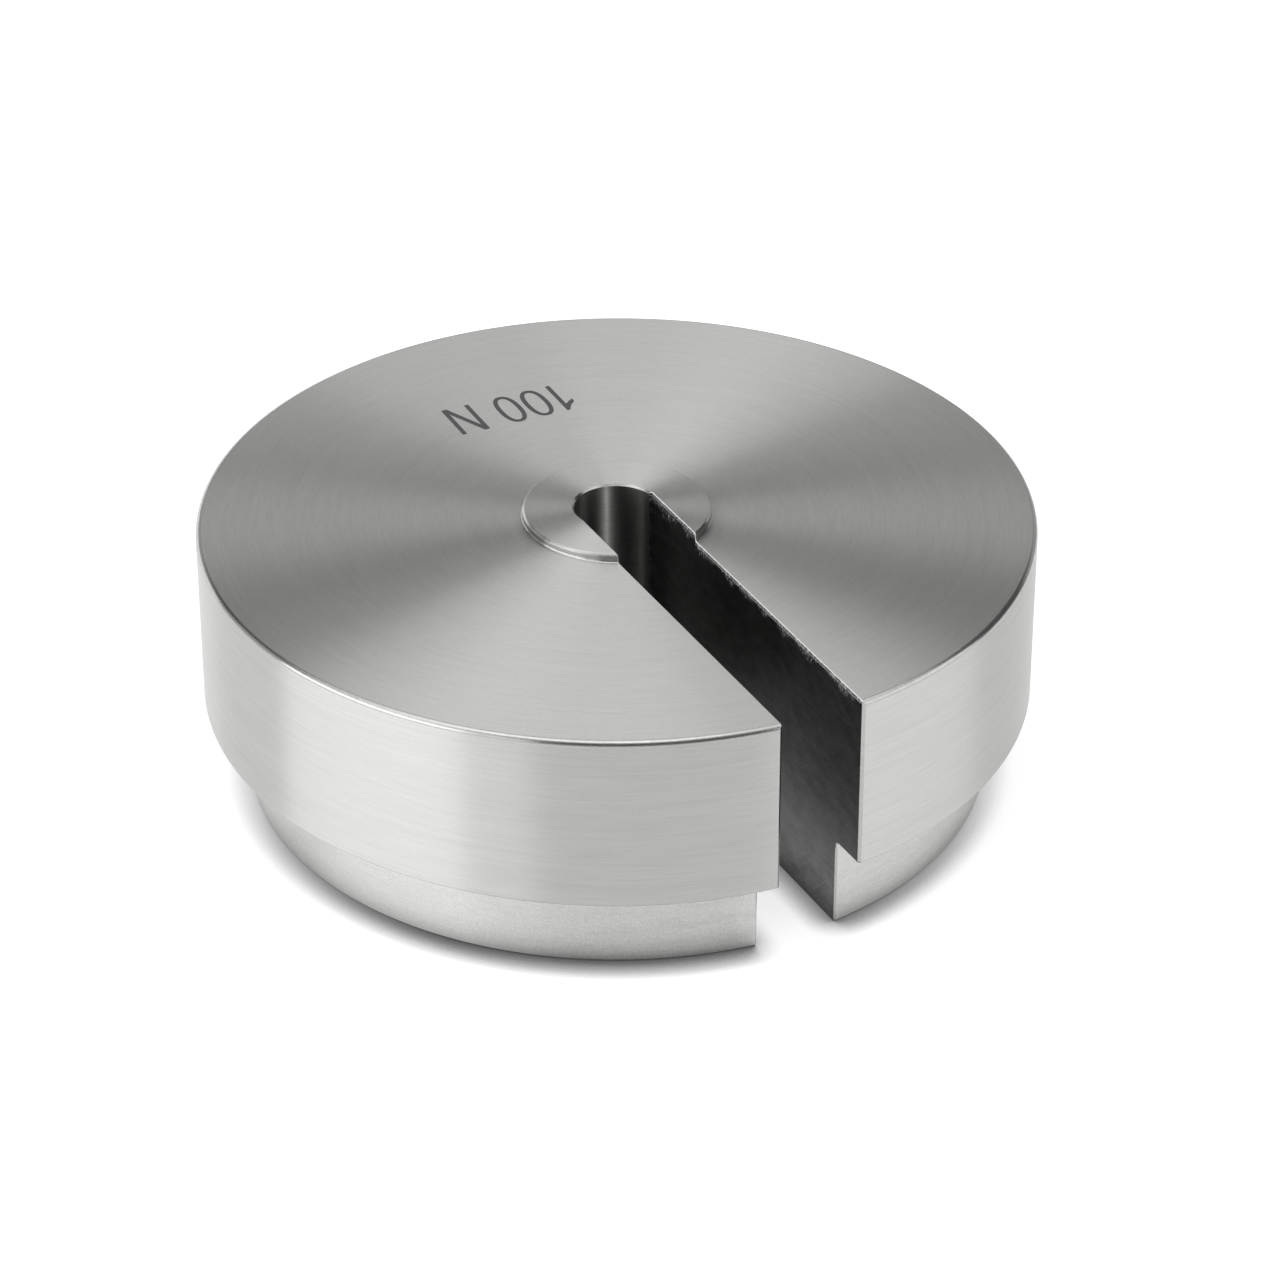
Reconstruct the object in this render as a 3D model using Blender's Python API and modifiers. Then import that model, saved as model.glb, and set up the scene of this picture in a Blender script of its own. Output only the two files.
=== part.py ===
"""Slotted calibration weight of 100 N, one turned and milled piece of stainless steel.

The body is a wide disc on a narrower foot. A low round boss on the top face centres the next weight of a
stack, which has a shallow recess for it in its underside. One slot runs from the rim to a round bore at the
centre, so that the weight slides over a hanger's rod.

The frame is in metres with +Z up. The origin is the centre of the underside, on the turning axis, and the
slot opens toward -Y. Left is -X and right is +X, as seen from the slot's mouth.
"""
import math

import bmesh
import bpy

MM = 0.001

# Turned body
RIM_RADIUS = 89.2 * MM
RIM_HEIGHT = 39.2 * MM
RIM_EDGE_RADIUS = 0.8 * MM
RIM_LOWER_CHAMFER = 0.3 * MM
STEP_DEPTH = 9.2 * MM
STEP_FILLET_RADIUS = 0.8 * MM
FOOT_HEIGHT = 20.1 * MM
FOOT_EDGE_CHAMFER = 0.5 * MM

# Centring boss on the top face, and the recess below that takes another weight's boss
BOSS_RADIUS = 20.1 * MM
BOSS_HEIGHT = 1.8 * MM
BOSS_CHAMFER = 0.45 * MM
BOSS_FILLET_RADIUS = 0.25 * MM
RECESS_SIDE_CLEARANCE = 0.4 * MM
RECESS_END_CLEARANCE = 0.5 * MM
RECESS_CHAMFER = 0.4 * MM

# Slot and bore
BORE_RADIUS = 8.9 * MM
BORE_SET_BACK = 0.5 * MM
BORE_CHAMFER = 0.4 * MM
SLOT_WIDTH = 18.3 * MM
SLOT_HEAD = 1.5 * MM
RIM_MOUTH_CHAMFER = 0.6 * MM
FOOT_MOUTH_CHAMFER = 0.4 * MM
FOOT_CHAMFER_STOP = 1.5 * MM

# Sizes that follow from the ones above
TOP_FACE_Z = FOOT_HEIGHT + RIM_HEIGHT
BOSS_TOP_Z = TOP_FACE_Z + BOSS_HEIGHT
FOOT_RADIUS = RIM_RADIUS - STEP_DEPTH
RECESS_RADIUS = BOSS_RADIUS + RECESS_SIDE_CLEARANCE
RECESS_DEPTH = BOSS_HEIGHT + RECESS_END_CLEARANCE
SLOT_LEFT_X = -BORE_RADIUS
SLOT_RIGHT_X = SLOT_LEFT_X + SLOT_WIDTH

# Fineness of the facets
TURNING_STEPS = 120
BORE_SEGMENTS = 48
RIM_EDGE_STEPS = 4
FILLET_STEPS = 3

# How far cutters run past the body, and the distance at which points count as one
CUTTER_OVERSHOOT = 5.0 * MM
WELD_DISTANCE = 0.001 * MM
SMOOTH_ANGLE = math.radians(30)

STEEL_COLOR = (0.62, 0.62, 0.60, 1.0)
STEEL_ROUGHNESS = 0.3


def clear_scene():
    for existing in list(bpy.data.objects):
        bpy.data.objects.remove(existing, do_unlink=True)


def make_collection(name):
    collection = bpy.data.collections.new(name)
    bpy.context.scene.collection.children.link(collection)
    return collection


def make_steel(name):
    material = bpy.data.materials.new(name)
    material.use_nodes = True
    shader = material.node_tree.nodes["Principled BSDF"]
    shader.inputs["Base Color"].default_value = STEEL_COLOR
    shader.inputs["Roughness"].default_value = STEEL_ROUGHNESS
    shader.inputs["Metallic"].default_value = 1.0
    return material


def arc(center, radius, start_degrees, end_degrees, steps):
    """Points on an arc around center, both ends included."""
    points = []
    for step in range(steps + 1):
        angle = math.radians(start_degrees + (end_degrees - start_degrees) * step / steps)
        points.append((center[0] + radius * math.cos(angle), center[1] + radius * math.sin(angle)))
    return points


def body_profile():
    """Half section of the turned body as (radius, height), from the axis on top round to the axis below."""
    boss = [
        (0.0, BOSS_TOP_Z),
        (BOSS_RADIUS - BOSS_CHAMFER, BOSS_TOP_Z),
        (BOSS_RADIUS, BOSS_TOP_Z - BOSS_CHAMFER),
    ]
    boss_root_center = (BOSS_RADIUS + BOSS_FILLET_RADIUS, TOP_FACE_Z + BOSS_FILLET_RADIUS)
    boss_root = arc(boss_root_center, BOSS_FILLET_RADIUS, 180, 270, FILLET_STEPS)
    rim_edge_center = (RIM_RADIUS - RIM_EDGE_RADIUS, TOP_FACE_Z - RIM_EDGE_RADIUS)
    rim_edge = arc(rim_edge_center, RIM_EDGE_RADIUS, 90, 0, RIM_EDGE_STEPS)
    rim_lower_edge = [
        (RIM_RADIUS, FOOT_HEIGHT + RIM_LOWER_CHAMFER),
        (RIM_RADIUS - RIM_LOWER_CHAMFER, FOOT_HEIGHT),
    ]
    step_corner_center = (FOOT_RADIUS + STEP_FILLET_RADIUS, FOOT_HEIGHT - STEP_FILLET_RADIUS)
    step_corner = arc(step_corner_center, STEP_FILLET_RADIUS, 90, 180, FILLET_STEPS)
    foot_edge = [
        (FOOT_RADIUS, FOOT_EDGE_CHAMFER),
        (FOOT_RADIUS - FOOT_EDGE_CHAMFER, 0.0),
    ]
    recess = [
        (RECESS_RADIUS + RECESS_CHAMFER, 0.0),
        (RECESS_RADIUS, RECESS_CHAMFER),
        (RECESS_RADIUS, RECESS_DEPTH),
        (0.0, RECESS_DEPTH),
    ]
    return boss + boss_root + rim_edge + rim_lower_edge + step_corner + foot_edge + recess


def turn_body(collection):
    """The body before the slot is cut: its half section, turned about the Z axis."""
    profile = body_profile()
    mesh = bpy.data.meshes.new("turned_body")
    section = bmesh.new()
    points = [section.verts.new((radius, 0.0, height)) for radius, height in profile]
    for upper, lower in zip(points, points[1:]):
        section.edges.new((upper, lower))
    section.to_mesh(mesh)
    section.free()
    body = bpy.data.objects.new("turned_body", mesh)
    collection.objects.link(body)
    turning = body.modifiers.new("turning", "SCREW")
    turning.steps = TURNING_STEPS
    turning.render_steps = TURNING_STEPS
    turning.use_merge_vertices = True
    turning.merge_threshold = WELD_DISTANCE
    return body


def distance_out(radius, x):
    """How far from the X axis a circle of this radius is crossed by the line at x."""
    return math.sqrt(radius**2 - x**2)


def slot_outline():
    """Plan view of slot and bore, counter-clockwise from the left corner of the mouth.

    Both walls flare at 45 degrees where they leave the rim. The left wall is tangent to the bore. The
    right wall stands a little outside the bore and ends in a narrow ledge, or meets the bore directly
    where the slot is too narrow for that.
    """
    flare = RIM_MOUTH_CHAMFER + CUTTER_OVERSHOOT
    left_flare_y = RIM_MOUTH_CHAMFER - distance_out(RIM_RADIUS, SLOT_LEFT_X)
    right_flare_y = RIM_MOUTH_CHAMFER - distance_out(RIM_RADIUS, SLOT_RIGHT_X)
    outline = [
        (SLOT_LEFT_X, left_flare_y),
        (SLOT_LEFT_X - flare, left_flare_y - flare),
        (SLOT_RIGHT_X + flare, right_flare_y - flare),
        (SLOT_RIGHT_X, right_flare_y),
    ]
    head_angle = math.degrees(math.asin(min(1.0, SLOT_HEAD / BORE_RADIUS)))
    first_angle = head_angle
    if SLOT_RIGHT_X > BORE_RADIUS * math.cos(math.radians(head_angle)):
        outline.append((SLOT_RIGHT_X, BORE_SET_BACK + SLOT_HEAD))
    else:
        first_angle = -math.degrees(math.acos(SLOT_RIGHT_X / BORE_RADIUS))
    segment = 360 / BORE_SEGMENTS
    first_step = math.floor(first_angle / segment) + 1
    last_step = BORE_SEGMENTS // 2
    for angle in [first_angle] + [segment * step for step in range(first_step, last_step + 1)]:
        turn = math.radians(angle)
        outline.append((BORE_RADIUS * math.cos(turn), BORE_SET_BACK + BORE_RADIUS * math.sin(turn)))
    return outline


def foot_flare_outline():
    """Plan view of the 45 degree flare where the walls leave the foot, begun inside the slot."""
    inset = SLOT_WIDTH / 4
    left_y = FOOT_MOUTH_CHAMFER - distance_out(FOOT_RADIUS, SLOT_LEFT_X)
    right_y = FOOT_MOUTH_CHAMFER - distance_out(FOOT_RADIUS, SLOT_RIGHT_X)
    return [
        (SLOT_LEFT_X + inset, left_y + inset),
        (SLOT_LEFT_X - CUTTER_OVERSHOOT, left_y - CUTTER_OVERSHOOT),
        (SLOT_RIGHT_X + CUTTER_OVERSHOOT, right_y - CUTTER_OVERSHOOT),
        (SLOT_RIGHT_X - inset, right_y + inset),
    ]


def mark_as_cutter(cutter):
    cutter.hide_render = True
    cutter.display_type = "WIRE"


def make_prism_cutter(name, outline, low, high, collection):
    """A closed prism over a plan-view outline, from the height low to the height high."""
    curve = bpy.data.curves.new(name, "CURVE")
    curve.dimensions = "2D"
    curve.fill_mode = "BOTH"
    curve.extrude = (high - low) / 2
    spline = curve.splines.new("POLY")
    spline.points.add(len(outline) - 1)
    for point, (x, y) in zip(spline.points, outline):
        point.co = (x, y, 0.0, 1.0)
    spline.use_cyclic_u = True
    drawn = bpy.data.objects.new(name + "_outline", curve)
    drawn.location.z = (high + low) / 2
    collection.objects.link(drawn)
    bpy.context.view_layer.update()

    evaluated = drawn.evaluated_get(bpy.context.evaluated_depsgraph_get())
    mesh = bpy.data.meshes.new_from_object(evaluated)
    prism = bmesh.new()
    prism.from_mesh(mesh)
    bmesh.ops.remove_doubles(prism, verts=prism.verts, dist=WELD_DISTANCE)
    bmesh.ops.recalc_face_normals(prism, faces=prism.faces)
    prism.to_mesh(mesh)
    prism.free()
    cutter = bpy.data.objects.new(name, mesh)
    cutter.matrix_world = drawn.matrix_world.copy()
    collection.objects.link(cutter)
    bpy.data.objects.remove(drawn, do_unlink=True)
    mark_as_cutter(cutter)
    return cutter


def make_chamfer_cutter(name, height, upward, collection):
    """A cone that chamfers the bore's edge at this height. It widens upward for a top edge, or downward."""
    narrow = BORE_RADIUS / 2
    wide = BORE_RADIUS + 2 * BORE_CHAMFER
    narrow_z = height - BORE_CHAMFER - (BORE_RADIUS - narrow)
    wide_z = height + BORE_CHAMFER
    if not upward:
        narrow_z = 2 * height - narrow_z
        wide_z = 2 * height - wide_z
    bpy.ops.mesh.primitive_cone_add(
        vertices=BORE_SEGMENTS,
        radius1=narrow if upward else wide,
        radius2=wide if upward else narrow,
        depth=abs(wide_z - narrow_z),
        location=(0.0, BORE_SET_BACK, (narrow_z + wide_z) / 2),
    )
    cutter = bpy.context.object
    cutter.name = name
    for home in cutter.users_collection:
        home.objects.unlink(cutter)
    collection.objects.link(cutter)
    mark_as_cutter(cutter)
    return cutter


def make_cutters(collection):
    """The slot with its bore, the flare at the foot, and the chamfers at both ends of the bore."""
    below = -CUTTER_OVERSHOOT
    above = BOSS_TOP_Z + CUTTER_OVERSHOOT
    foot_flare_top = FOOT_HEIGHT - FOOT_CHAMFER_STOP
    return [
        make_prism_cutter("slot", slot_outline(), below, above, collection),
        make_prism_cutter("foot_flare", foot_flare_outline(), below, foot_flare_top, collection),
        make_chamfer_cutter("bore_top_chamfer", BOSS_TOP_Z, True, collection),
        make_chamfer_cutter("bore_lower_chamfer", RECESS_DEPTH, False, collection),
    ]


def make_weight_body(collection, cutters):
    """The turned body with slot and bore cut out, as one mesh with sharp edges marked."""
    blank = turn_body(collection)
    for cutter in cutters:
        cut = blank.modifiers.new(cutter.name, "BOOLEAN")
        cut.operation = "DIFFERENCE"
        cut.solver = "EXACT"
        cut.object = cutter
    bpy.context.view_layer.update()
    mesh = bpy.data.meshes.new_from_object(blank.evaluated_get(bpy.context.evaluated_depsgraph_get()))
    bpy.data.objects.remove(blank, do_unlink=True)
    mesh.name = "weight_body"
    mesh.materials.clear()
    mesh.materials.append(make_steel("stainless_steel"))
    mesh.shade_smooth()
    mesh.set_sharp_from_angle(angle=SMOOTH_ANGLE)
    body = bpy.data.objects.new("weight_body", mesh)
    collection.objects.link(body)
    return body


def main():
    clear_scene()
    weight = make_collection("slotted_weight")
    cutters = make_collection("cutters")
    make_weight_body(weight, make_cutters(cutters))


main()
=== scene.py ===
"""Looks of the slotted calibration weight: its turned and milled surfaces, its value mark, and the studio.

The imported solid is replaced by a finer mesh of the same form, whose small roundings, chamfers and edge
breaks catch the light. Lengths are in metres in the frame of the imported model: the origin is the centre of
the underside on the turning axis, +Z is up, and the slot opens toward -Y.
"""
import math

import bmesh
import bpy
from mathutils import Matrix, Vector


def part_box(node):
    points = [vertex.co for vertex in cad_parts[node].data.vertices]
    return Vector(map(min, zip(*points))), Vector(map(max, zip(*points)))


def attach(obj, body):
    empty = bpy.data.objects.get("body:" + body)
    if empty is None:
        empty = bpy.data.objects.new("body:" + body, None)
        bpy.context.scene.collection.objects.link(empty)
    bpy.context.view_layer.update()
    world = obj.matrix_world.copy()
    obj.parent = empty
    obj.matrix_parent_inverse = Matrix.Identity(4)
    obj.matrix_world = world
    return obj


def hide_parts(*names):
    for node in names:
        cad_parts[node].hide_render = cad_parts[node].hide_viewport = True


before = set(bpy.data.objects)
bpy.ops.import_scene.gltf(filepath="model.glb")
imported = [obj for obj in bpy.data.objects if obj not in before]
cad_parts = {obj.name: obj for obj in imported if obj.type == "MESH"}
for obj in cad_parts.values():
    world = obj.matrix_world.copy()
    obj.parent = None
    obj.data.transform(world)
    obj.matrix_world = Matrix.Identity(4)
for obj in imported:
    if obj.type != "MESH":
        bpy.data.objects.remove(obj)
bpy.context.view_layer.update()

MM = 0.001
BODY_NODE = "weight_body"
node_low, node_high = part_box(BODY_NODE)

# Turned form, read from the frame where it shows there
RIM_RADIUS = (node_high.x - node_low.x) / 2
BOSS_TOP_Z = node_high.z
BOSS_HEIGHT = 1.8 * MM
TOP_FACE_Z = BOSS_TOP_Z - BOSS_HEIGHT
FOOT_HEIGHT = 20.1 * MM
STEP_DEPTH = 9.2 * MM
FOOT_RADIUS = RIM_RADIUS - STEP_DEPTH
BOSS_RADIUS = 20.1 * MM
RECESS_SIDE_CLEARANCE = 0.4 * MM
RECESS_END_CLEARANCE = 0.5 * MM
RECESS_RADIUS = BOSS_RADIUS + RECESS_SIDE_CLEARANCE
RECESS_DEPTH = BOSS_HEIGHT + RECESS_END_CLEARANCE
RIM_LOWER_CHAMFER = 0.3 * MM
FOOT_EDGE_CHAMFER = 0.5 * MM
BOSS_CHAMFER = 0.45 * MM
RECESS_CHAMFER = 0.4 * MM

# Radii of the rounded corners
RIM_EDGE_RADIUS = 1.1 * MM
STEP_FILLET_RADIUS = 0.8 * MM
BOSS_FILLET_RADIUS = 0.45 * MM
SHARP_CORNER_RADIUS = 0.13 * MM

# Slot and bore
BORE_RADIUS = 8.9 * MM
BORE_CENTRE_Y = 0.5 * MM
BORE_CHAMFER = 0.4 * MM
SLOT_WIDTH = 18.3 * MM
SLOT_HEAD = 1.5 * MM
SLOT_LEFT_X = -BORE_RADIUS
SLOT_RIGHT_X = SLOT_LEFT_X + SLOT_WIDTH
LEDGE_Y = BORE_CENTRE_Y + SLOT_HEAD
RIM_MOUTH_CHAMFER = 0.6 * MM
FOOT_MOUTH_CHAMFER = 0.4 * MM
FOOT_CHAMFER_STOP = 1.5 * MM
EDGE_BREAK = 0.18 * MM

# Fineness of the mesh. Each wall takes one part in HEAD_WALL_SHARE of the outline round the slot's head.
RING_SEGMENTS = 720
CORNER_STEP = math.radians(12)
HEAD_RING_RADIUS = 12 * MM
LEDGE_SEGMENTS = 6
HEAD_WALL_SHARE = 6
WELD_DISTANCE = 0.0005 * MM
SMOOTH_ANGLE = math.radians(30)

# Value mark on the top face, opposite the slot: upright as seen from behind
MARK_PLACE = Vector((0.25, 51.45, 0.0)) * MM
MARK_TURN = math.radians(180 - 1.6)
MARK_HEIGHT = 11.9 * MM
MARK_STROKE = 1.05 * MM
MARK_RISE = 0.02 * MM
MARK_ROOT = 0.02 * MM
ZERO_WIDTH = 5.5 * MM
ZERO_OVERSHOOT = 0.1 * MM
ZERO_SQUARENESS = 2.35
ZERO_SEGMENTS = 96
LETTER_WIDTH = 6.55 * MM
LETTER_CORNER = 1.3 * MM
ONE_WIDTH = 3.15 * MM
ONE_HEAD = 2.4 * MM
FLAG_TIP_DROP = 3.1 * MM
FLAG_HEEL_DROP = 4.4 * MM
FLAG_ROOT_DROP = 2.8 * MM
UPPER_BEND = (0.55, 0.38)
LOWER_BEND = (0.6, 0.5)
MARK_GAPS = (1.95 * MM, 1.0 * MM, 4.7 * MM)

# Camera, in the row frame
CAMERA_PLACE = Vector((-393.633, -764.173, 561.887)) * MM
CAMERA_AIM = Vector((2.676, -5.507, 30.0)) * MM
CAMERA_CLIP = 10 * MM
CAMERA_LENS = 131.872
CAMERA_SENSOR = 36.0

# Studio, in metres and degrees. Overhead panels are (name, left, right, near, far, height, radiance), laid
# out along the camera's line of sight. Upright panels are (name, first azimuth, last azimuth, lowest,
# highest, distance, radiance), with azimuths from +Y toward +X and elevations seen from the weight's foot.
FLOOR_REACH = 1.2
FLOOR_GAP = 0.02 * MM
FLOOR_WHITE = (0.5, 0.5, 0.5)
FLOOR_GLOW = 1.4
WORLD_FILL = 0.1
OVERHEAD_PANELS = [
    ("overhead_box", -1.0, 0.97, -0.5, 0.4, 1.0, 1.38),
    ("overhead_heart", -0.4, 0.2, -0.2, 0.4, 0.99, 0.69),
    ("overhead_front", -0.7, 0.2, -0.5, 0.0, 0.98, 0.57),
    ("overhead_back", -0.45, 0.45, 0.4, 1.2, 1.0, 0.88),
]
UPRIGHT_PANELS = [
    ("left_box", 228, 298, 0, 45, 1.5, 1.34),
    ("left_heart", 245, 298, 0, 18, 1.45, 2.96),
    ("left_fill", 300, 328, 0, 34, 1.5, 0.55),
    ("right_box", 106, 166, 0, 40, 1.5, 1.59),
    ("backdrop", 328, 438, 0, 34, 1.5, 0.48),
    ("backdrop_heart", 328, 378, 0, 16, 1.45, 1.19),
]

# Shade of the floor near the weight. The lean turns the floor's normal toward the back, so that the shade
# is deepest in front. Its strength falls toward the sides: the spread gives the cosines, measured from the
# front, of the directions where it is least and where it is full.
CONTACT_REACH = 6.5 * MM
CONTACT_LEAN = Vector((0.25, 0.48, 0.84))
CONTACT_DARKEST_SKY = 0.45
CONTACT_SHADE = 0.1
CONTACT_SAMPLES = 4
CONTACT_SPREAD = (0.2, 0.9)
CONTACT_STRENGTH = (0.6, 1.0)


# The section of the turned form


class Station:
    """One point of the half section, with the outward normal there and the finish of the band after it.

    On a rounded convex corner it also knows the corner's radius, the corner itself and its mitre, which is
    the way that the corner moves when both of its sides step back by one unit.
    """

    def __init__(self, radius, height, normal, finish, rounding=math.inf, corner=None, mitre=None):
        self.radius = radius
        self.height = height
        self.normal = normal
        self.finish = finish
        self.rounding = rounding
        self.corner = corner
        self.mitre = mitre


def section_corners():
    """Corners of the half section from the boss down to the recess, as (radius, height, corner radius,
    finish of the rounded corner, finish of the straight stretch after it)."""
    fine = SHARP_CORNER_RADIUS
    return [
        (HEAD_RING_RADIUS, BOSS_TOP_Z, 0.0, "face", "face"),
        (BOSS_RADIUS - BOSS_CHAMFER, BOSS_TOP_Z, fine, "edge", "edge"),
        (BOSS_RADIUS, BOSS_TOP_Z - BOSS_CHAMFER, fine, "edge", "edge"),
        (BOSS_RADIUS, TOP_FACE_Z, BOSS_FILLET_RADIUS, "edge", "face"),
        (RIM_RADIUS, TOP_FACE_Z, RIM_EDGE_RADIUS, "edge", "side"),
        (RIM_RADIUS, FOOT_HEIGHT + RIM_LOWER_CHAMFER, fine, "edge", "edge"),
        (RIM_RADIUS - RIM_LOWER_CHAMFER, FOOT_HEIGHT, fine, "edge", "face"),
        (FOOT_RADIUS, FOOT_HEIGHT, STEP_FILLET_RADIUS, "edge", "foot"),
        (FOOT_RADIUS, FOOT_HEIGHT - FOOT_CHAMFER_STOP, 0.0, "foot", "foot"),
        (FOOT_RADIUS, FOOT_HEIGHT - FOOT_CHAMFER_STOP - FOOT_MOUTH_CHAMFER, 0.0, "foot", "foot"),
        (FOOT_RADIUS, FOOT_EDGE_CHAMFER, fine, "edge", "edge"),
        (FOOT_RADIUS - FOOT_EDGE_CHAMFER, 0.0, fine, "edge", "face"),
        (RECESS_RADIUS + RECESS_CHAMFER, 0.0, fine, "edge", "edge"),
        (RECESS_RADIUS, RECESS_CHAMFER, fine, "edge", "side"),
        (RECESS_RADIUS, RECESS_DEPTH, BOSS_FILLET_RADIUS, "edge", "face"),
        (HEAD_RING_RADIUS, RECESS_DEPTH, 0.0, "face", "face"),
    ]


def section_stations():
    """The half section with its corners rounded, as stations from the boss to the recess."""
    corners = section_corners()
    stations = []
    for index, (radius, height, rounding, corner_finish, next_finish) in enumerate(corners):
        corner = Vector((radius, height))
        before = corners[max(index - 1, 0)]
        after = corners[min(index + 1, len(corners) - 1)]
        incoming = (corner - Vector(before[:2])).normalized()
        outgoing = (Vector(after[:2]) - corner).normalized()
        if index == 0:
            incoming = outgoing
        if index == len(corners) - 1:
            outgoing = incoming
        first_normal = Vector((-incoming.y, incoming.x))
        if rounding == 0.0:
            stations.append(Station(radius, height, first_normal, next_finish))
            continue
        turn = math.atan2(incoming.x * outgoing.y - incoming.y * outgoing.x, incoming.dot(outgoing))
        start = corner - incoming * rounding * math.tan(abs(turn) / 2)
        bulge = -math.copysign(1.0, turn)
        centre = start - first_normal * rounding * bulge
        steps = math.ceil(abs(turn) / CORNER_STEP)
        last_normal = Vector((-outgoing.y, outgoing.x))
        mitre = (first_normal + last_normal) / (1 + first_normal.dot(last_normal))
        limit = rounding if bulge > 0 else math.inf
        for step in range(steps + 1):
            angle = turn * step / steps
            normal = Vector((
                first_normal.x * math.cos(angle) - first_normal.y * math.sin(angle),
                first_normal.x * math.sin(angle) + first_normal.y * math.cos(angle),
            ))
            place = centre + normal * rounding * bulge
            finish = next_finish if step == steps else corner_finish
            stations.append(Station(place.x, place.y, normal, finish, limit, corner, mitre))
    return stations


# The slot's walls


def mouth_opening(station):
    """How far the body's edge stands back from the slot's wall at this station, on each side."""
    if station.height < FOOT_HEIGHT - FOOT_CHAMFER_STOP - FOOT_MOUTH_CHAMFER / 2:
        return max(EDGE_BREAK, FOOT_MOUTH_CHAMFER - (FOOT_RADIUS - station.radius))
    return max(EDGE_BREAK, RIM_MOUTH_CHAMFER - (RIM_RADIUS - station.radius))


def front_crossing(radius, x):
    """Y of the point where a circle round the turning axis crosses the line at x, on the slot's side."""
    return -math.sqrt(radius**2 - x**2)


def ring_points(station):
    """One turn of the body from the slot's left wall, past the back, to its right wall."""
    opening = mouth_opening(station)
    first = math.asin((BORE_RADIUS + opening) / station.radius) - math.pi
    last = math.pi - math.asin((SLOT_RIGHT_X + opening) / station.radius)
    points = []
    for segment in range(RING_SEGMENTS + 1):
        angle = first + (last - first) * segment / RING_SEGMENTS
        points.append((station.radius * math.sin(angle), station.radius * math.cos(angle), station.height))
    return points


def wall_point(station, wall_x):
    """Where the broken edge at this station meets the slot's wall."""
    opening = mouth_opening(station)
    place = Vector((station.radius, station.height))
    outward = station.normal
    if opening > station.rounding:
        place = station.corner
        outward = station.mitre
    y = front_crossing(place.x, wall_x)
    return (wall_x, y - outward.x * opening * y / place.x, place.y - outward.y * opening)


def spread(start, end, segments):
    """Evenly spaced values from start to end, both included."""
    return [start + (end - start) * step / segments for step in range(segments + 1)]


def head_outline():
    """Plan view of the slot's inner end, from the left wall round the bore to the right wall.

    Each entry is (inner x, inner y, outer x, outer y, edge break): the inner line is the opening itself,
    the outer one runs round the chamfer on the flat face.
    """
    segments = RING_SEGMENTS // HEAD_WALL_SHARE
    left_inner = spread(front_crossing(HEAD_RING_RADIUS, SLOT_LEFT_X), BORE_CENTRE_Y, segments)
    left_outer = spread(
        front_crossing(HEAD_RING_RADIUS, SLOT_LEFT_X - EDGE_BREAK), BORE_CENTRE_Y, segments)
    outline = []
    for inner_y, outer_y in zip(left_inner, left_outer):
        reach = math.sqrt((BORE_RADIUS + BORE_CHAMFER) ** 2 - (outer_y - BORE_CENTRE_Y) ** 2)
        opening = max(EDGE_BREAK, reach - BORE_RADIUS)
        outline.append((SLOT_LEFT_X, inner_y, SLOT_LEFT_X - opening, outer_y, opening))

    ledge_rise = LEDGE_Y - BORE_CENTRE_Y
    inner_end = math.asin(ledge_rise / BORE_RADIUS)
    outer_end = math.asin((ledge_rise + EDGE_BREAK) / (BORE_RADIUS + BORE_CHAMFER))
    arc_segments = RING_SEGMENTS - 2 * segments - LEDGE_SEGMENTS
    inner_angles = spread(math.pi, inner_end, arc_segments)[1:]
    outer_angles = spread(math.pi, outer_end, arc_segments)[1:]
    for inner, outer in zip(inner_angles, outer_angles):
        outline.append((
            BORE_RADIUS * math.cos(inner),
            BORE_CENTRE_Y + BORE_RADIUS * math.sin(inner),
            (BORE_RADIUS + BORE_CHAMFER) * math.cos(outer),
            BORE_CENTRE_Y + (BORE_RADIUS + BORE_CHAMFER) * math.sin(outer),
            BORE_CHAMFER,
        ))

    ledge_inner = spread(outline[-1][0], SLOT_RIGHT_X, LEDGE_SEGMENTS)[1:]
    ledge_outer = spread(outline[-1][2], SLOT_RIGHT_X + EDGE_BREAK, LEDGE_SEGMENTS)[1:]
    for inner_x, outer_x in zip(ledge_inner, ledge_outer):
        outline.append((inner_x, LEDGE_Y, outer_x, LEDGE_Y + EDGE_BREAK, EDGE_BREAK))

    right_inner = spread(LEDGE_Y, front_crossing(HEAD_RING_RADIUS, SLOT_RIGHT_X), segments)[1:]
    right_outer = spread(
        LEDGE_Y + EDGE_BREAK,
        front_crossing(HEAD_RING_RADIUS, SLOT_RIGHT_X + EDGE_BREAK), segments)[1:]
    for inner_y, outer_y in zip(right_inner, right_outer):
        outline.append((SLOT_RIGHT_X, inner_y, SLOT_RIGHT_X + EDGE_BREAK, outer_y, EDGE_BREAK))
    return outline, segments


# The mesh of the body


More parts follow.
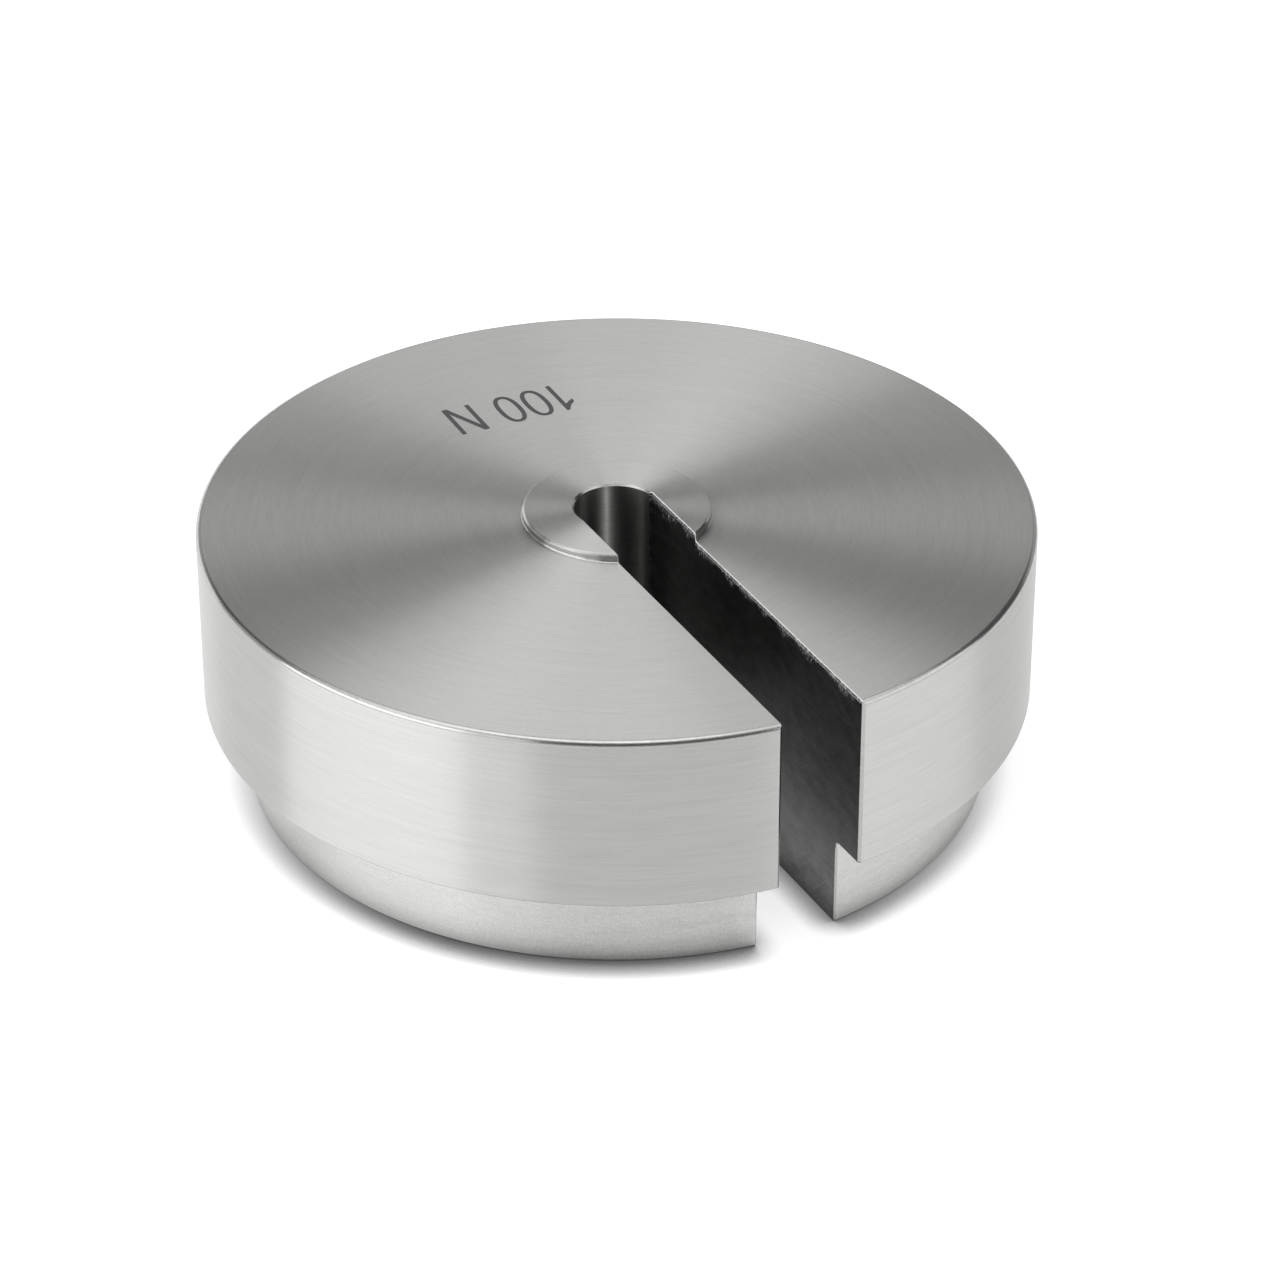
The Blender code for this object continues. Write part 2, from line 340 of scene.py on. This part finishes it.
class Patchwork:
    """Grids and flat outlines of points, welded at the end into one closed mesh."""

    def __init__(self, finishes):
        self.finishes = finishes
        self.points = []
        self.faces = []
        self.face_finishes = []

    def grid(self, rows, finish):
        """Quads between rows of equally many points."""
        start = len(self.points)
        width = len(rows[0])
        for row in rows:
            self.points.extend(row)
        for lower in range(len(rows) - 1):
            for column in range(width - 1):
                corner = start + lower * width + column
                self.faces.append((corner, corner + 1, corner + width + 1, corner + width))
                self.face_finishes.append(self.finishes.index(finish))

    def outline(self, points, finish):
        """One flat face round these points."""
        start = len(self.points)
        self.points.extend(points)
        self.faces.append(tuple(range(start, len(self.points))))
        self.face_finishes.append(self.finishes.index(finish))

    def mesh(self, name):
        mesh = bpy.data.meshes.new(name)
        mesh.from_pydata(self.points, [], self.faces)
        mesh.polygons.foreach_set("material_index", self.face_finishes)
        welded = bmesh.new()
        welded.from_mesh(mesh)
        bmesh.ops.remove_doubles(welded, verts=welded.verts, dist=WELD_DISTANCE)
        bmesh.ops.recalc_face_normals(welded, faces=welded.faces)
        welded.to_mesh(mesh)
        welded.free()
        mesh.shade_smooth()
        mesh.set_sharp_from_angle(angle=SMOOTH_ANGLE)
        return mesh


def build_body_mesh(finishes):
    """The turned form with its slot and bore."""
    work = Patchwork(finishes)
    stations = section_stations()
    rings = [ring_points(station) for station in stations]
    for index in range(len(stations) - 1):
        work.grid(rings[index:index + 2], stations[index].finish)

    head, wall_segments = head_outline()
    bore_first = wall_segments
    bore_last = len(head) - wall_segments - 1
    ledge_first = bore_last - LEDGE_SEGMENTS
    rims = {}
    for level, facing in ((BOSS_TOP_Z, 1), (RECESS_DEPTH, -1)):
        outer = [(x, y, level) for _, _, x, y, _ in head]
        inner = [(x, y, level - facing * opening) for x, y, _, _, opening in head]
        rims[facing] = inner
        work.grid([rings[0] if facing == 1 else rings[-1], outer], "face")
        work.grid([outer[:bore_first + 1], inner[:bore_first + 1]], "broken_edge_painted_highlight")
        work.grid([outer[bore_first:ledge_first + 1], inner[bore_first:ledge_first + 1]], "edge")
        work.grid([outer[ledge_first:], inner[ledge_first:]], "broken_edge_painted_highlight")
    work.grid([rims[side][bore_first:ledge_first + 1] for side in (1, -1)], "bore")
    work.grid([rims[side][ledge_first:bore_last + 1] for side in (1, -1)], "wall")

    side_start = next(
        number for number, station in enumerate(stations)
        if station.radius > RIM_RADIUS - RIM_EDGE_RADIUS / 2)
    for wall_x, end, top_rim, low_rim in (
        (SLOT_LEFT_X, 0, rims[1][:bore_first + 1], rims[-1][:bore_first + 1]),
        (SLOT_RIGHT_X, -1, rims[1][bore_last:][::-1], rims[-1][bore_last:][::-1]),
    ):
        wall_edge = [wall_point(station, wall_x) for station in stations]
        ring_ends = [ring[end] for ring in rings]
        work.grid([ring_ends[:side_start], wall_edge[:side_start]], "broken_edge_painted_highlight")
        work.grid([ring_ends[side_start - 1:], wall_edge[side_start - 1:]], "edge")
        work.outline(wall_edge + low_rim[1:] + top_rim[:0:-1], "wall")
    return work.mesh("machined_body")


# The value mark


def one_strokes():
    """The figure one, from its left edge and its foot: a stem with a flag that curves off its head."""
    top = MARK_HEIGHT
    stem = ONE_WIDTH - MARK_STROKE
    flag_tip = top - FLAG_TIP_DROP
    flag_heel = top - FLAG_HEEL_DROP
    flag_root = top - FLAG_ROOT_DROP
    upper_bend = (UPPER_BEND[0] * ONE_HEAD, flag_tip + UPPER_BEND[1] * (top - flag_tip))
    lower_bend = (LOWER_BEND[0] * stem, flag_heel + LOWER_BEND[1] * (flag_root - flag_heel))
    outline = [
        (ONE_WIDTH, 0.0), (ONE_WIDTH, top), (ONE_HEAD, top), upper_bend, (0.0, flag_tip),
        (0.0, flag_heel), lower_bend, (stem, flag_root), (stem, 0.0),
    ]
    return [outline], []


def zero_strokes():
    """The figure zero: a ring between two squared ovals."""
    rings = []
    for inset in (0.0, MARK_STROKE):
        half_width = ZERO_WIDTH / 2 - inset
        half_height = MARK_HEIGHT / 2 + ZERO_OVERSHOOT - inset
        ring = []
        for segment in range(ZERO_SEGMENTS + 1):
            angle = 2 * math.pi * segment / ZERO_SEGMENTS
            cosine = math.cos(angle)
            sine = math.sin(angle)
            across = math.copysign(half_width * abs(cosine) ** (2 / ZERO_SQUARENESS), cosine)
            upward = math.copysign(half_height * abs(sine) ** (2 / ZERO_SQUARENESS), sine)
            ring.append((ZERO_WIDTH / 2 + across, MARK_HEIGHT / 2 + upward))
        rings.append(ring)
    return [], [rings]


def letter_strokes():
    """The unit's letter: two stems and the diagonal between them."""
    top = MARK_HEIGHT
    right = LETTER_WIDTH
    drop = top * MARK_STROKE / (right - LETTER_CORNER)
    outline = [
        (0.0, 0.0), (MARK_STROKE, 0.0), (MARK_STROKE, top - drop), (right - LETTER_CORNER, 0.0),
        (right, 0.0), (right, top), (right - MARK_STROKE, top), (right - MARK_STROKE, drop),
        (LETTER_CORNER, top), (0.0, top),
    ]
    return [outline], []


def build_value_mark():
    """The nominal weight, 100 N, in thin strokes let into the top face."""
    glyphs = [
        (ONE_WIDTH, one_strokes), (ZERO_WIDTH, zero_strokes),
        (ZERO_WIDTH, zero_strokes), (LETTER_WIDTH, letter_strokes),
    ]
    full_width = sum(width for width, _ in glyphs) + sum(MARK_GAPS)
    turn = Matrix.Rotation(MARK_TURN, 4, "Z")
    start = -full_width / 2

    def placed(point, height):
        flat = Vector((start + point[0], point[1] - MARK_HEIGHT / 2, 0.0))
        return turn @ flat + MARK_PLACE + Vector((0.0, 0.0, TOP_FACE_Z + height))

    work = Patchwork(["mark"])
    for (width, strokes), gap in zip(glyphs, MARK_GAPS + (0.0,)):
        outlines, bands = strokes()
        for outline in outlines:
            upper = [placed(point, MARK_RISE) for point in outline]
            lower = [placed(point, -MARK_ROOT) for point in outline]
            work.outline(upper, "mark")
            work.outline(lower[::-1], "mark")
            work.grid([upper + upper[:1], lower + lower[:1]], "mark")
        for outer, inner in bands:
            loops = [
                [placed(point, height) for point in ring]
                for ring, height in (
                    (outer, MARK_RISE), (inner, MARK_RISE), (inner, -MARK_ROOT), (outer, -MARK_ROOT),
                    (outer, MARK_RISE))
            ]
            work.grid(loops, "mark")
        start += width + gap
    mark = bpy.data.objects.new("value_mark", work.mesh("value_mark"))
    mark.data.materials.append(laser_grey("laser_mark"))
    bpy.context.scene.collection.objects.link(mark)
    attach(mark, "root")
    return mark


# Node trees


class Graph:
    """A material's node tree, with short calls for the nodes that the finishes use."""

    def __init__(self, name):
        self.material = bpy.data.materials.new(name)
        self.material.use_nodes = True
        self.nodes = self.material.node_tree.nodes
        self.links = self.material.node_tree.links
        self.shader = self.nodes["Principled BSDF"]

    def node(self, kind, inputs, **settings):
        """A new node. Inputs are numbers, vectors or other nodes' outputs, by socket name or number."""
        made = self.nodes.new(kind)
        for name, value in settings.items():
            setattr(made, name, value)
        for socket, value in inputs.items():
            self.feed(made.inputs[socket], value)
        return made

    def feed(self, socket, value):
        if isinstance(value, bpy.types.NodeSocket):
            self.links.new(value, socket)
        else:
            socket.default_value = value

    def math(self, operation, *values):
        return self.node("ShaderNodeMath", dict(enumerate(values)), operation=operation).outputs[0]

    def noise(self, vector, detail, roughness=0.5):
        """Noise round zero, within about -1 to 1."""
        made = self.node("ShaderNodeTexNoise", {
            "Vector": vector, "Scale": 1.0, "Detail": detail, "Roughness": roughness})
        return self.math("MULTIPLY_ADD", made.outputs["Fac"], 2.0, -1.0)

    def vector(self, x, y, z):
        return self.node("ShaderNodeCombineXYZ", {0: x, 1: y, 2: z}).outputs[0]

    def range(self, value, from_low, from_high, to_low=0.0, to_high=1.0):
        made = self.node("ShaderNodeMapRange", {
            "Value": value, "From Min": from_low, "From Max": from_high, "To Min": to_low, "To Max": to_high})
        return made.outputs["Result"]

    def sum(self, *values):
        total = values[0]
        for value in values[1:]:
            total = self.math("ADD", total, value)
        return total

    def scaled(self, value, factor):
        return self.math("MULTIPLY", value, factor)

    def tinted(self, tone, factor):
        """The tone made lighter or darker by the factor."""
        return self.node("ShaderNodeVectorMath", {0: tone, "Scale": factor}, operation="SCALE").outputs[0]

    def place(self):
        """Object coordinates in millimetres."""
        spot = self.node("ShaderNodeTexCoord", {}).outputs["Object"]
        split = self.node("ShaderNodeSeparateXYZ", {0: spot})
        return [self.scaled(split.outputs[axis], 1 / MM) for axis in range(3)]

    def stretched(self, place, *factors):
        """The place with each of its coordinates scaled by its own factor."""
        return self.vector(*(self.scaled(axis, factor) for axis, factor in zip(place, factors)))

    def radius(self, x, y):
        """Distance from the turning axis."""
        return self.math("SQRT", self.math("ADD", self.math("MULTIPLY", x, x), self.math("MULTIPLY", y, y)))

    def turning(self):
        """Across the tool's path in millimetres, and round the axis in radians with the seam in the slot."""
        x, y, z = self.place()
        return self.math("ADD", self.radius(x, y), z), self.math("ARCTAN2", x, y)

    def bump(self, height, depth):
        """Relief of this height field, in units of the depth."""
        made = self.node("ShaderNodeBump", {"Height": height, "Distance": depth, "Strength": 1.0})
        self.feed(self.shader.inputs["Normal"], made.outputs[0])


# Finishes. Inside the node trees, lengths are in millimetres. Tones are linear colours. Streaks are
# (waves per mm across the tool's path, waves per radian round the axis, strength), a grain is (waves per mm,
# strength), and scratches are (slant, waves per mm across, noise at their rim, noise at their middle).
STEEL = (0.53, 0.53, 0.519)
# The foot has its own grain and roughness. Its tone, a tenth lighter than the rest, is a painted reflection
# of the bright floor that it mirrors.
FOOT_STEEL_PAINTED_REFLECTION = tuple(channel * 1.1 for channel in STEEL)
# Painted shade: the small chamfers and roundings are darker than the turned steel, to dim their highlights.
PAINTED_SHADE_EDGE_STEEL = (0.42, 0.42, 0.411)
# Painted highlight: the broken edges of the slot are lighter than any bare steel, so that they show as bright
# lines.
FILED_STEEL_PAINTED_HIGHLIGHT = (0.85, 0.85, 0.84)
# Painted shade: the slot's walls are far darker than bare steel, standing in for the shade inside the slot.
PAINTED_SHADE_WALL_STEEL = (0.11, 0.11, 0.108)
# Painted shade: the bore's steel is darker than the turned steel, standing in for the shade in the hollow.
PAINTED_SHADE_BORE_STEEL = (0.3, 0.3, 0.294)
MARK_GREY = (0.05, 0.05, 0.05)

FACE_STREAKS = [(5.5, 13.0, 0.09), (2.6, 5.0, 0.08), (0.9, 2.0, 0.035), (0.25, 1.0, 0.02)]
FACE_GRAIN = (3.4, 0.1)
SIDE_STREAKS = [(5.0, 9.0, 0.08), (2.6, 3.5, 0.075), (0.9, 1.5, 0.035), (0.3, 0.8, 0.02)]
SIDE_GRAIN = (3.0, 0.07)
FOOT_STREAKS = [(4.0, 30.0, 0.09), (1.6, 8.0, 0.07), (0.5, 1.8, 0.04)]
FOOT_GRAIN = (2.6, 0.22)
STREAK_SHIFT = 7.3
TURNED_RELIEF = 0.004 * MM

DENT_SPACING = 11.0
DENT_RADIUS = 0.22
DENT_SHADE = 0.25

WALL_SCRATCHES = [
    (0.65, 3.5, 0.2, 0.45), (-0.9, 3.0, 0.2, 0.5), (2.6, 2.2, 0.25, 0.5), (0.02, 4.0, 0.25, 0.5),
]
SCRATCHES_PER_MM_ALONG = 0.06
SCRATCH_SHIFT = 3.1
WALL_RELIEF = 0.01 * MM

# Burrs under the top edge of the slot's walls: torn hairs in patches, and a ragged lip. In the wall's colour
# they are painted lighter than bare steel, as glints.
HAIRS_PER_MM = 4.2
HAIR_LEAN = 0.35
HAIR_NOISE = (0.07, 0.24)
PATCHES_PER_MM = 0.13
PATCH_NOISE = (-0.3, 0.2)
PATCH_REACH = (0.5, 3.2)
BOSS_REACH_GAIN = 0.3
HAIR_FADE = 0.4
LIP_DEPTH = 0.75
LIP_RIPPLE = 0.15
LIP_HALF_WIDTH = (0.22, 0.08)
LIP_NOISE = (-0.35, 0.15)
LIP_STRENGTH = 0.8


def set_steel(graph, tone, variation, roughness, roughness_change, anisotropic=0.0):
    """Bare steel whose lightness follows the variation. The roughness changes by the same variation."""
    shader = graph.shader
    shader.inputs["Metallic"].default_value = 1.0
    graph.feed(shader.inputs["Base Color"], graph.tinted(tone, graph.math("ADD", variation, 1.0)))
    graph.feed(
        shader.inputs["Roughness"],
        graph.math("MULTIPLY_ADD", variation, roughness_change, roughness))
    if anisotropic:
        shader.inputs["Anisotropic"].default_value = anisotropic
        shader.inputs["Anisotropic Rotation"].default_value = 0.25
        tangent = graph.node("ShaderNodeTangent", {}, direction_type="RADIAL", axis="Z")
        graph.feed(shader.inputs["Tangent"], tangent.outputs[0])


def small_dents(graph, share):
    """Tiny dents scattered over the surface: 1 in a dent, 0 beside it."""
    cells = graph.node("ShaderNodeTexVoronoi", {
        "Vector": graph.vector(*graph.place()), "Scale": 1 / DENT_SPACING, "Randomness": 1.0}, feature="F1")
    rim = DENT_RADIUS / DENT_SPACING
    near = graph.range(cells.outputs["Distance"], rim, rim / 2)
    pick = graph.node("ShaderNodeSeparateColor", {0: cells.outputs["Color"]}).outputs[0]
    return graph.math("MULTIPLY", near, graph.math("LESS_THAN", pick, share))


def turned_steel(name, tone, roughness, anisotropic, streaks, grain, dent_share):
    """Lathe-turned steel, with streaks along the tool's path, a fine grain and a few small dents."""
    graph = Graph(name)
    across, angle = graph.turning()
    layers = []
    for number, (per_mm, per_radian, strength) in enumerate(streaks):
        field = graph.noise(
            graph.vector(
                graph.scaled(across, per_mm), graph.scaled(angle, per_radian), STREAK_SHIFT * number),
            2.0)
        layers.append(graph.scaled(field, strength))
    grooves = graph.sum(*layers)
    per_mm, grain_strength = grain
    grain_field = graph.noise(graph.stretched(graph.place(), per_mm, per_mm, per_mm), 3.0)
    dents = small_dents(graph, dent_share)
    variation = graph.sum(
        grooves, graph.scaled(grain_field, grain_strength), graph.scaled(dents, DENT_SHADE))
    set_steel(graph, tone, variation, roughness, -0.25, anisotropic)
    graph.bump(graph.sum(grooves, graph.scaled(dents, -1.0)), TURNED_RELIEF)
    return graph.material


def edge_steel_painted_shade(name):
    """Small chamfers and roundings: smoother than the turned faces, with fine nicks across them. Their tone
    is a darker copy of the steel: painted shade that dims their highlights.
    """
    graph = Graph(name)
    across, angle = graph.turning()
    nicks = graph.noise(graph.vector(graph.scaled(across, 2.0), graph.scaled(angle, 40.0), 0.0), 3.0)
    set_steel(graph, PAINTED_SHADE_EDGE_STEEL, graph.scaled(nicks, 0.12), 0.24, -0.3, 0.9)
    graph.bump(nicks, 0.002 * MM)
    return graph.material


def broken_edge_painted_highlight(name):
    """The slot's edges, broken by hand: brighter and rougher than the turned ones. The roughness is their
    own, and the brightness is a painted highlight along the slot's edges.
    """
    graph = Graph(name)
    filing = graph.noise(graph.stretched(graph.place(), 1.2, 1.2, 1.2), 3.0)
    set_steel(graph, FILED_STEEL_PAINTED_HIGHLIGHT, graph.scaled(filing, 0.3), 0.5, -0.2)
    graph.bump(filing, 0.01 * MM)
    return graph.material


def wall_scratches(graph, y, z):
    """Crossing tool scratches on the slot's walls, each up to 1."""
    scratches = []
    for number, (slant, per_mm, rim, middle) in enumerate(WALL_SCRATCHES):
        along = graph.math("ADD", y, graph.scaled(z, slant))
        over = graph.math("SUBTRACT", z, graph.scaled(y, slant))
        field = graph.noise(
            graph.vector(
                graph.scaled(along, SCRATCHES_PER_MM_ALONG), graph.scaled(over, per_mm),
                SCRATCH_SHIFT * number),
            1.0)
        scratches.append(graph.range(field, rim, middle))
    return graph.sum(*scratches)


def wall_burrs_and_glints(graph, x, y, z):
    """Torn hairs and a ragged lip under the top edges of the slot's walls, up to 1."""
    on_boss = graph.math("LESS_THAN", graph.radius(x, y), BOSS_RADIUS / MM)
    edge_z = graph.math("MULTIPLY_ADD", on_boss, BOSS_HEIGHT / MM, TOP_FACE_Z / MM)
    depth = graph.math("SUBTRACT", edge_z, z)

    lean = graph.math("ADD", y, graph.scaled(z, HAIR_LEAN))
    hairs = graph.noise(graph.vector(graph.scaled(lean, HAIRS_PER_MM), graph.scaled(z, 0.5), 5.0), 2.0, 0.6)
    patches = graph.noise(graph.vector(graph.scaled(y, PATCHES_PER_MM), 2.0, on_boss), 2.0)
    reach = graph.math(
        "MULTIPLY", graph.range(patches, *PATCH_NOISE, *PATCH_REACH),
        graph.math("MULTIPLY_ADD", on_boss, BOSS_REACH_GAIN, 1.0))
    torn = graph.math(
        "MULTIPLY", graph.range(hairs, *HAIR_NOISE),
        graph.range(graph.math("DIVIDE", depth, reach), 1.0, HAIR_FADE))

    ripple = graph.noise(graph.vector(graph.scaled(y, 0.9), 9.0, 0.0), 2.0)
    lip_depth = graph.math("MULTIPLY_ADD", ripple, LIP_RIPPLE, LIP_DEPTH)
    off_lip = graph.math("ABSOLUTE", graph.math("SUBTRACT", depth, lip_depth))
    raggedness = graph.noise(graph.vector(graph.scaled(y, 2.1), 4.0, 0.0), 2.0)
    lip = graph.math("MULTIPLY", graph.range(off_lip, *LIP_HALF_WIDTH), graph.range(raggedness, *LIP_NOISE))
    return graph.math("MAXIMUM", torn, graph.scaled(lip, LIP_STRENGTH))


def milled_wall_painted_shade(name):
    """The slot's walls: dark and mottled, with crossing tool scratches and torn burr hairs and lips under the
    top edges. The dark tone is painted shade inside the slot, and the burr hairs and lips are painted lighter
    than bare steel, as glints.
    """
    graph = Graph(name)
    x, y, z = graph.place()
    mottle = graph.noise(graph.stretched((x, y, z), 0.2, 0.2, 0.35), 4.0)
    grain = graph.noise(graph.stretched((x, y, z), 3.0, 3.0, 3.0), 2.0)
    scored = wall_scratches(graph, y, z)
    burrs_and_glints = wall_burrs_and_glints(graph, x, y, z)
    # The burr mask lifts the wall's tone up to sevenfold, above bare steel: painted glints on real burr hairs
    # and lips.
    variation = graph.sum(
        graph.scaled(mottle, 0.75), graph.scaled(grain, 0.25), graph.scaled(scored, 0.55),
        graph.scaled(burrs_and_glints, 6.0))
    set_steel(graph, PAINTED_SHADE_WALL_STEEL, variation, 0.32, 0.085)
    graph.bump(graph.sum(graph.scaled(scored, 0.5), grain, graph.scaled(burrs_and_glints, 16.0)), WALL_RELIEF)
    return graph.material


def bored_wall_painted_shade(name):
    """The bore: fine lines round it, and the drill's lengthwise chatter. Its tone, darker than the turned
    steel, is painted shade in the bore.
    """
    graph = Graph(name)
    x, y, z = graph.place()
    angle = graph.math("ARCTAN2", x, graph.math("SUBTRACT", y, BORE_CENTRE_Y / MM))
    rings = graph.noise(graph.vector(graph.scaled(z, 1.8), graph.scaled(angle, 1.5), 0.0), 3.0)
    chatter = graph.noise(graph.vector(graph.scaled(z, 0.05), graph.scaled(angle, 14.0), 4.0), 2.0)
    variation = graph.sum(graph.scaled(rings, 0.2), graph.scaled(chatter, 0.2))
    set_steel(graph, PAINTED_SHADE_BORE_STEEL, variation, 0.3, -0.15, 0.6)
    graph.bump(rings, 0.006 * MM)
    return graph.material


def laser_grey(name):
    """Oxide grey of a laser-annealed line."""
    graph = Graph(name)
    x, y, _ = graph.place()
    speckle = graph.noise(graph.vector(graph.scaled(x, 4.0), graph.scaled(y, 4.0), 0.0), 2.0)
    graph.feed(
        graph.shader.inputs["Base Color"],
        graph.tinted(MARK_GREY, graph.math("MULTIPLY_ADD", speckle, 0.25, 1.0)))
    graph.feed(graph.shader.inputs["Roughness"], graph.math("MULTIPLY_ADD", speckle, 0.1, 0.55))
    graph.bump(speckle, 0.004 * MM)
    return graph.material


def make_finishes():
    return {
        "face": turned_steel("turned_face", STEEL, 0.333, 1.0, FACE_STREAKS, FACE_GRAIN, 0.12),
        "side": turned_steel("turned_side", STEEL, 0.333, 1.0, SIDE_STREAKS, SIDE_GRAIN, 0.04),
        "foot": turned_steel("turned_foot_painted_reflection", FOOT_STEEL_PAINTED_REFLECTION, 0.36, 0.85, FOOT_STREAKS, FOOT_GRAIN, 0.1),
        "edge": edge_steel_painted_shade("edge_steel_painted_shade"),
        "broken_edge_painted_highlight": broken_edge_painted_highlight("broken_edge_painted_highlight"),
        "wall": milled_wall_painted_shade("milled_wall_painted_shade"),
        "bore": bored_wall_painted_shade("bored_wall_painted_shade"),
    }


def build_body():
    finishes = make_finishes()
    mesh = build_body_mesh(list(finishes))
    for material in finishes.values():
        mesh.materials.append(material)
    body = bpy.data.objects.new("machined_body", mesh)
    bpy.context.scene.collection.objects.link(body)
    flats = body.modifiers.new("flat_faces", "WEIGHTED_NORMAL")
    flats.keep_sharp = True
    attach(body, "root")
    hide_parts(BODY_NODE)
    return body


# Studio


def contact_shade(graph):
    """The share of its white that the floor keeps: 1 away from the weight."""
    open_sky = graph.node("ShaderNodeAmbientOcclusion", {
        "Distance": CONTACT_REACH, "Normal": graph.vector(*CONTACT_LEAN)}, samples=CONTACT_SAMPLES)
    shade = graph.range(open_sky.outputs["AO"], CONTACT_DARKEST_SKY, 1.0, CONTACT_SHADE, 1.0)
    x, y, _ = graph.place()
    front = -CONTACT_LEAN.to_2d().normalized()
    forward = graph.math("ADD", graph.scaled(x, front.x), graph.scaled(y, front.y))
    cosine = graph.math("DIVIDE", forward, graph.radius(x, y))
    strength = graph.range(cosine, *CONTACT_SPREAD, *CONTACT_STRENGTH)
    return graph.math("MULTIPLY_ADD", graph.math("SUBTRACT", shade, 1.0), strength, 1.0)


def build_floor():
    mesh = bpy.data.meshes.new("studio_floor")
    corners = [(x * FLOOR_REACH, y * FLOOR_REACH, 0) for x, y in ((-1, -1), (1, -1), (1, 1), (-1, 1))]
    mesh.from_pydata(corners, [], [(0, 1, 2, 3)])
    floor = bpy.data.objects.new("studio_floor", mesh)
    floor.location.z = -FLOOR_GAP
    graph = Graph("floor_white")
    white = graph.tinted(FLOOR_WHITE, contact_shade(graph))
    graph.feed(graph.shader.inputs["Base Color"], white)
    graph.feed(graph.shader.inputs["Emission Color"], white)
    graph.shader.inputs["Emission Strength"].default_value = FLOOR_GLOW
    graph.shader.inputs["Roughness"].default_value = 1.0
    graph.shader.inputs["Specular IOR Level"].default_value = 0.0
    mesh.materials.append(graph.material)
    bpy.context.scene.collection.objects.link(floor)


def soft_panel(name, centre, facing, level, width, height, radiance):
    """A lit rectangle that faces along one direction and has its width along the other."""
    data = bpy.data.lights.new(name, "AREA")
    data.shape = "RECTANGLE"
    data.size = width
    data.size_y = height
    data.energy = radiance * math.pi * width * height
    panel = bpy.data.objects.new(name, data)
    backward = -facing
    upward = backward.cross(level)
    turn = Matrix((level, upward, backward)).transposed()
    panel.matrix_world = Matrix.Translation(centre) @ turn.to_4x4()
    panel.visible_camera = False
    bpy.context.scene.collection.objects.link(panel)


def build_lights():
    """Overhead panels in line with the camera, and upright panels round the weight."""
    ahead = CAMERA_AIM - CAMERA_PLACE
    ahead = Vector((ahead.x, ahead.y, 0.0)).normalized()
    right = Vector((ahead.y, -ahead.x, 0.0))
    down = Vector((0.0, 0.0, -1.0))
    for name, left_edge, right_edge, near_edge, far_edge, height, radiance in OVERHEAD_PANELS:
        centre = right * (left_edge + right_edge) / 2 + ahead * (near_edge + far_edge) / 2 - down * height
        soft_panel(name, centre, down, right, right_edge - left_edge, far_edge - near_edge, radiance)

    for name, first, last, lowest, highest, distance, radiance in UPRIGHT_PANELS:
        azimuth = math.radians((first + last) / 2)
        outward = Vector((math.sin(azimuth), math.cos(azimuth), 0.0))
        level = Vector((outward.y, -outward.x, 0.0))
        low_z = distance * math.tan(math.radians(lowest))
        high_z = distance * math.tan(math.radians(highest))
        centre = outward * distance + Vector((0.0, 0.0, (low_z + high_z) / 2))
        width = 2 * distance * math.tan(math.radians(last - first) / 2)
        soft_panel(name, centre, -outward, level, width, high_z - low_z, radiance)


def build_world():
    """White where the camera sees past the floor, and next to nothing as a light."""
    world = bpy.data.worlds.new("studio")
    bpy.context.scene.world = world
    world.use_nodes = True
    nodes = world.node_tree.nodes
    backdrop = nodes["Background"]
    backdrop.inputs["Color"].default_value = (1.0, 1.0, 1.0, 1.0)
    seen = nodes.new("ShaderNodeLightPath")
    brightness = nodes.new("ShaderNodeMapRange")
    brightness.inputs["To Min"].default_value = WORLD_FILL
    brightness.inputs["To Max"].default_value = 1.0
    world.node_tree.links.new(seen.outputs["Is Camera Ray"], brightness.inputs["Value"])
    world.node_tree.links.new(brightness.outputs["Result"], backdrop.inputs["Strength"])


def build_camera():
    data = bpy.data.cameras.new("camera")
    data.sensor_width = CAMERA_SENSOR
    data.lens = CAMERA_LENS
    data.clip_start = CAMERA_CLIP
    camera = bpy.data.objects.new("camera", data)
    camera.location = CAMERA_PLACE
    camera.rotation_mode = "QUATERNION"
    camera.rotation_quaternion = (CAMERA_AIM - CAMERA_PLACE).to_track_quat("-Z", "Y")
    bpy.context.scene.collection.objects.link(camera)
    bpy.context.scene.camera = camera


build_body()
build_value_mark()
build_floor()
build_lights()
build_world()
build_camera()
bpy.context.scene.view_settings.view_transform = "Standard"
